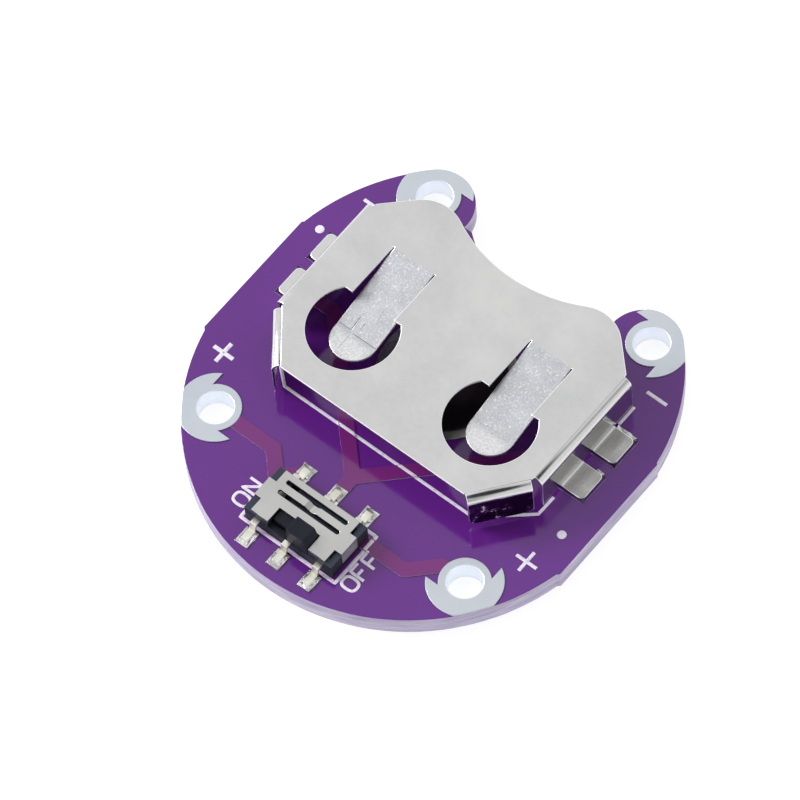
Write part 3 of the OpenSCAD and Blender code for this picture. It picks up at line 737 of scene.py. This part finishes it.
LEG_STEM = 0.03
LEG_RISE = 0.12
LEG_JITTER = 0.04
for number in range(1, 7):
    leg_low, leg_high = (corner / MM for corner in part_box("switch_leg_%d" % number))
    land_low, land_high = (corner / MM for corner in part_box("leg_solder_%d" % number))
    front = number <= 3
    stem_y = (leg_low.y - LEG_STEM, land_high.y) if front else (land_low.y, leg_high.y + LEG_STEM)
    skirt = solder_skirt("solder_leg_%d" % number, SOLDER,
                         ((land_low.x, land_low.y), (land_high.x, land_high.y)),
                         ((leg_low.x - LEG_STEM, stem_y[0]), (leg_high.x + LEG_STEM, stem_y[1])),
                         LEG_RISE, 3, LEG_JITTER, number)
    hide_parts("leg_solder_%d" % number)

FOOT_MARGIN = 0.17
FOOT_FILLET = 0.12
FOOT_RISE = 0.12
FOOT_JITTER = 0.015
for number in range(1, 5):
    low, high = (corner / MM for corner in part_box("clip_solder_%d" % number))
    right = low.x > 0
    ends = (low.x, high.x - FOOT_MARGIN) if right else (low.x + FOOT_MARGIN, high.x)
    foot = ((ends[0], low.y + FOOT_MARGIN), (ends[1], high.y - FOOT_MARGIN))
    rim = ((foot[0][0] - FOOT_FILLET, foot[0][1] - FOOT_FILLET),
           (foot[1][0] + FOOT_FILLET, foot[1][1] + FOOT_FILLET))
    skirt = solder_skirt("solder_foot_%d" % number, SOLDER_PAINTED_DARK, rim, foot, FOOT_RISE, 8, FOOT_JITTER,
                         20 + number)
    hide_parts("clip_solder_%d" % number)

# Bright beads left beside the right feet
solder_skirt("solder_bead_2", SOLDER, ((11.75, 3.3), (12.35, 3.65)), ((11.85, 3.3), (12.2, 3.42)),
             0.12, 3, LEG_JITTER, 31)
solder_skirt("solder_bead_3", SOLDER, ((10.9, 6.45), (12.45, 6.9)), ((11.0, 6.45), (12.3, 6.62)),
             0.16, 5, LEG_JITTER, 32)


# ---------------------------------------------------------------------------
# Studio
# ---------------------------------------------------------------------------
# Brightness of the tent from its left to its right side, by the direction's X
TENT_TONES = [(-1, 1.0), (-0.2, 1.0), (-0.08, 0.6), (0.02, 1.0), (0.2, 1.0), (0.35, 0.66),
              (0.55, 0.5), (0.75, 1.0)]
# The tent's dark opening, where the camera stands: its direction, and the cosines of the
# angles at which it starts and is full
OPENING_SIDE = Vector((0.27, -0.28, 0.92)).normalized()
OPENING_EDGE = (0.88, 0.94)
OPENING_TONE = (0.05, 0.05, 0.055)
FLOOR_HALF = 1.5  # metres
FLOOR_GLOW = 0.8


def soft_panel(name, place, size, power):
    """A large light panel that faces the board; places and sizes are in millimetres."""
    data = bpy.data.lights.new(name, "AREA")
    data.shape = "RECTANGLE"
    data.size = size[0] * MM
    data.size_y = size[1] * MM
    data.energy = power
    lamp = bpy.data.objects.new(name, data)
    lamp.location = Vector(place) * MM
    lamp.rotation_euler = (-Vector(place)).to_track_quat("-Z", "Y").to_euler()
    bpy.context.scene.collection.objects.link(lamp)


def build_world():
    """A white tent with grey gaps between its panels, and a dark opening in its roof."""
    world = bpy.data.worlds.new("studio")
    bpy.context.scene.world = world
    world.use_nodes = True
    tree = world.node_tree
    place = tree.nodes.new("ShaderNodeTexCoord").outputs["Generated"]
    across = spread(tree, split_axes(tree, place)[0], 0, 1, -1, 1)
    tent = ramp(tree, across, [(x / 2 + 0.5, (tone, tone, tone)) for x, tone in TENT_TONES])
    toward = vector_node(tree, "DOT_PRODUCT", place, OPENING_SIDE).outputs["Value"]
    opening = spread(tree, toward, 0, 1, *OPENING_EDGE)
    back = tree.nodes["Background"]
    tree.links.new(mix_color(tree, opening, tent, OPENING_TONE), back.inputs["Color"])


def build_floor():
    """A pale floor lit from below, as a light table is."""
    bm = bmesh.new()
    bmesh.ops.create_grid(bm, x_segments=1, y_segments=1, size=FLOOR_HALF)
    mesh = bpy.data.meshes.new("floor")
    bm.to_mesh(mesh)
    bm.free()
    material, _, shader, _ = start_material("pale floor", (0.32, 0.32, 0.32), 0.6)
    shader.inputs["Emission Color"].default_value = (1, 1, 1, 1)
    shader.inputs["Emission Strength"].default_value = FLOOR_GLOW
    mesh.materials.append(material)
    floor = bpy.data.objects.new("floor", mesh)
    bpy.context.scene.collection.objects.link(floor)


build_world()
build_floor()
soft_panel("panel_side", (-330, -120, 230), (150, 150), 1.2)
